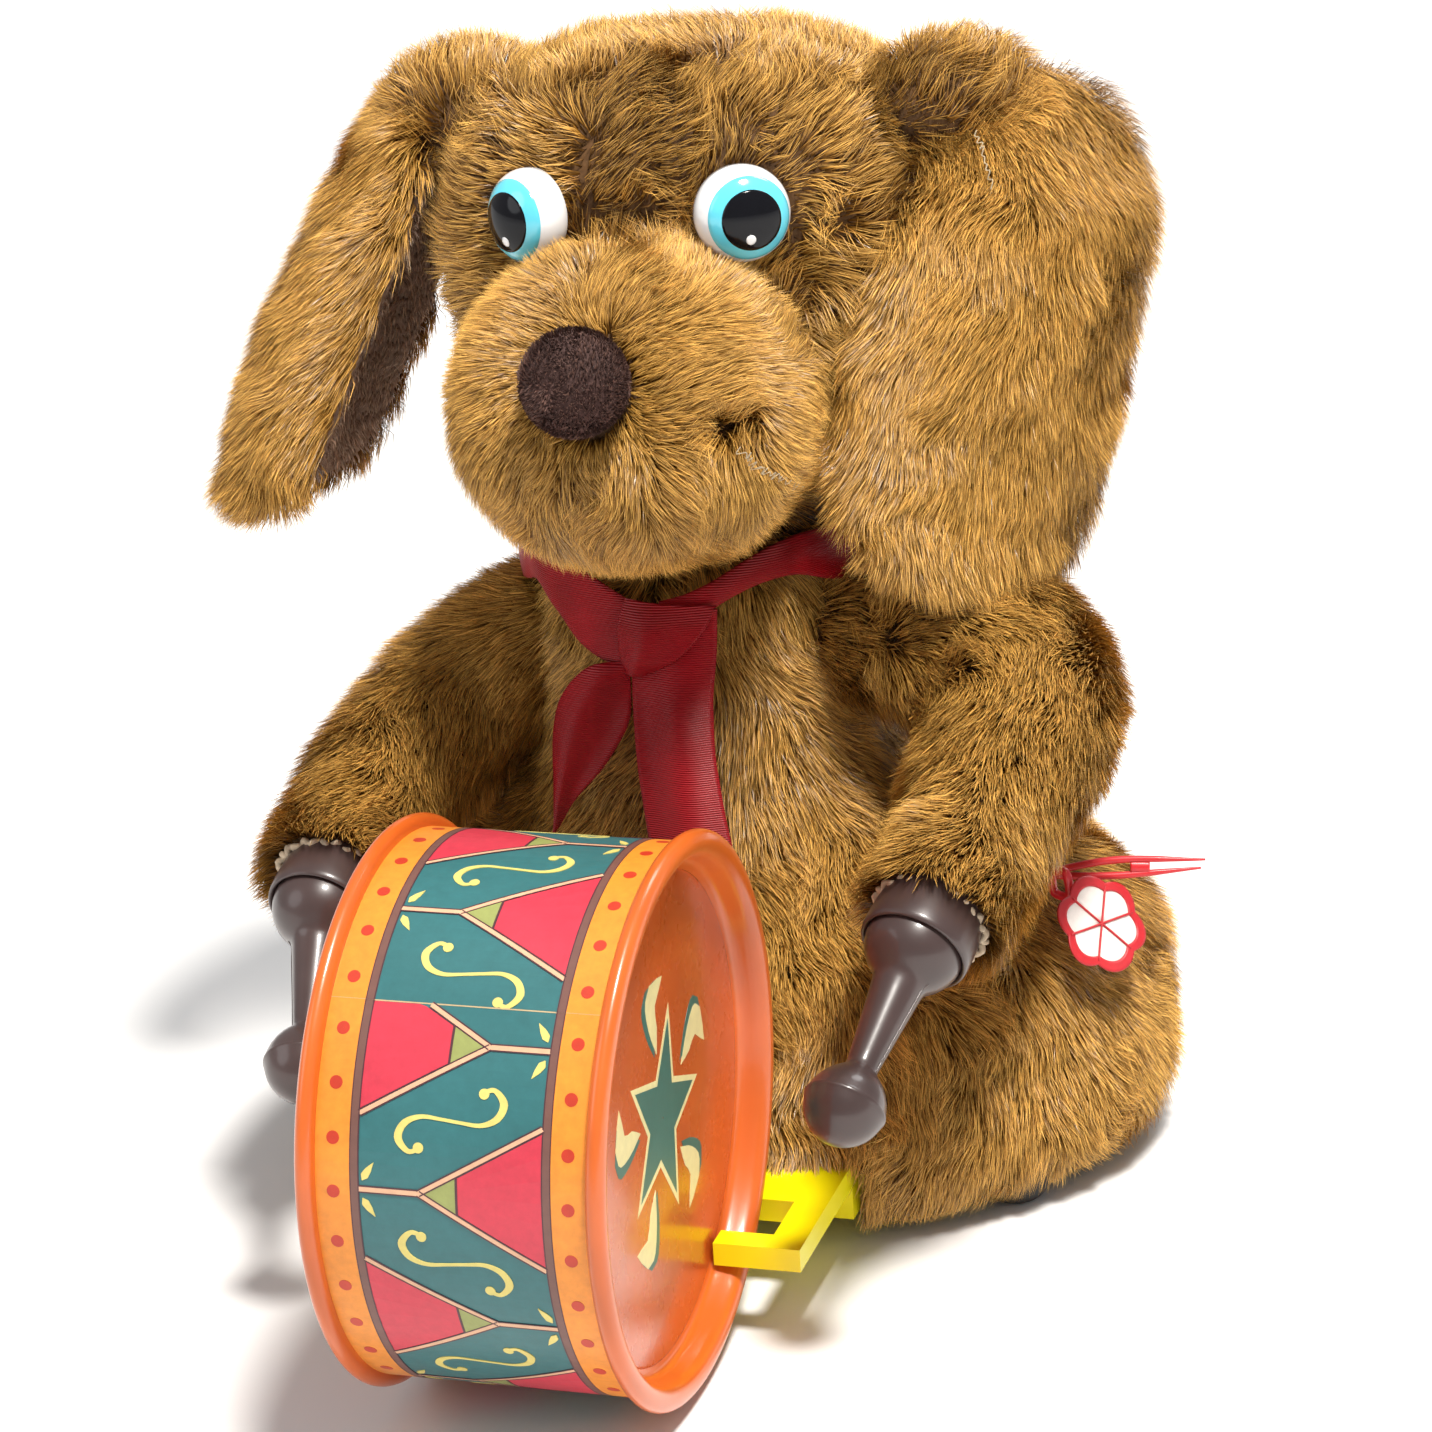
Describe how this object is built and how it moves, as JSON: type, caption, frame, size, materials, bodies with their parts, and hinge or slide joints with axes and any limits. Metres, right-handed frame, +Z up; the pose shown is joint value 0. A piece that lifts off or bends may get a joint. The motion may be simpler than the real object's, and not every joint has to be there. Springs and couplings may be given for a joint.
{
  "type": "wind-up plush drummer toy",
  "caption": "Plush puppy toy on a footed pan that beats a drum held upright in front, with a clockwork motor inside and a winding key at the back.",
  "frame": {"origin": "middle of the base pan's flat underside", "axes": "+Z up; the puppy faces -Y towards its drum; +X is the puppy's left"},
  "size_m": [0.1307, 0.1825, 0.1493],
  "materials": {
    "plush": "deep golden-brown pile",
    "velvet": "short grey-brown pile",
    "stuffing": "loose white fibre",
    "yellow_plastic": "smooth moulded",
    "orange_plastic": "smooth moulded",
    "printed_paper": "printed, satin",
    "brown_plastic": "polished, with a parting line",
    "flock": "flocked",
    "rubber": "matt",
    "eye_plastic": "polished, painted pupil",
    "ribbon": "ribbed satin",
    "steel": "satin",
    "brass": "satin",
    "tag_paper": "coated",
    "red_cord": "moulded"
  },
  "bodies": {
    "root": {"base_pan": "yellow_plastic", "foot_front_left": "rubber", "foot_front_right": "rubber", "foot_rear_left": "rubber", "foot_rear_right": "rubber", "front_pan_screw": "steel", "rear_pan_screw": "steel", "motor_front_plate": "steel", "motor_back_plate": "steel", "plate_pillar_1": "steel", "plate_pillar_2": "steel", "plate_pillar_3": "steel", "plate_pillar_4": "steel", "mainspring": "steel", "left_arm_pin": "steel", "right_arm_pin": "steel", "neck_bridge": "steel", "body_plush": "plush", "drum_shell": "orange_plastic", "drum_label": "printed_paper", "left_drum_head": "orange_plastic", "right_drum_head": "orange_plastic", "ribbon_collar": "ribbon", "ribbon_knot": "ribbon", "ribbon_left_tail": "ribbon", "ribbon_right_tail": "ribbon", "hang_tag": "tag_paper", "tag_cord": "red_cord"},
    "winding_parts": {"winding_arbor": "steel", "winding_key": "steel", "ratchet_wheel": "brass"},
    "great_wheel_body": {"great_wheel": "brass"},
    "click_body": {"ratchet_click": "steel"},
    "second_shaft": {"second_arbor": "steel", "second_wheel": "brass", "beat_cam": "brass"},
    "third_shaft": {"third_arbor": "steel", "escape_wheel": "brass"},
    "pallet_body": {"escape_pallet": "steel"},
    "left_arm": {"left_arm_lever": "steel", "left_sleeve": "plush", "left_drumstick": "brown_plastic"},
    "right_arm": {"right_arm_lever": "steel", "right_sleeve": "plush", "right_drumstick": "brown_plastic"},
    "head": {"head_spindle": "steel", "head_stuffing": "stuffing", "head_plush": "plush", "left_eye": "eye_plastic", "right_eye": "eye_plastic", "left_eye_washer": "steel", "right_eye_washer": "steel", "nose": "flock", "left_ear": "plush", "right_ear": "plush", "left_ear_lining": "velvet", "right_ear_lining": "velvet"}
  },
  "joints": [
    {"name": "key_winding", "type": "hinge", "parent": "root", "child": "winding_parts", "pos_m": [0, 0.052, 0.0265], "axis": [0, 1, 0], "continuous": true},
    {"name": "great_wheel_turn", "type": "hinge", "parent": "root", "child": "great_wheel_body", "pos_m": [0, -0.0076, 0.0265], "axis": [0, 1, 0], "continuous": true},
    {"name": "click_rock", "type": "hinge", "parent": "great_wheel_body", "child": "click_body", "pos_m": [-0.0112, -0.0099, 0.0315], "axis": [0, 1, 0], "range_deg": [-3, 14]},
    {"name": "second_shaft_turn", "type": "hinge", "parent": "root", "child": "second_shaft", "pos_m": [0, 0.0036, 0.0489], "axis": [0, 1, 0], "continuous": true},
    {"name": "third_shaft_turn", "type": "hinge", "parent": "root", "child": "third_shaft", "pos_m": [0.0124, -0.01, 0.05341], "axis": [0, 1, 0], "continuous": true},
    {"name": "pallet_rock", "type": "hinge", "parent": "root", "child": "pallet_body", "pos_m": [0.00919, -0.01, 0.06225], "axis": [0, 1, 0], "range_deg": [-4, 4]},
    {"name": "left_arm_beat", "type": "hinge", "parent": "root", "child": "left_arm", "pos_m": [0.012, -0.016, 0.068], "axis": [0, 1, 0], "range_deg": [-5, 17]},
    {"name": "right_arm_beat", "type": "hinge", "parent": "root", "child": "right_arm", "pos_m": [-0.012, -0.016, 0.068], "axis": [0, -1, 0], "range_deg": [-5, 17]},
    {"name": "head_turn", "type": "hinge", "parent": "root", "child": "head", "pos_m": [0, -0.002, 0.09], "axis": [0, 0, 1], "range_deg": [-8, 8]}
  ],
  "couplings": [
    {"joint": "second_shaft_turn", "follows": "great_wheel_turn", "ratio": -6},
    {"joint": "third_shaft_turn", "follows": "great_wheel_turn", "ratio": 27}
  ]
}
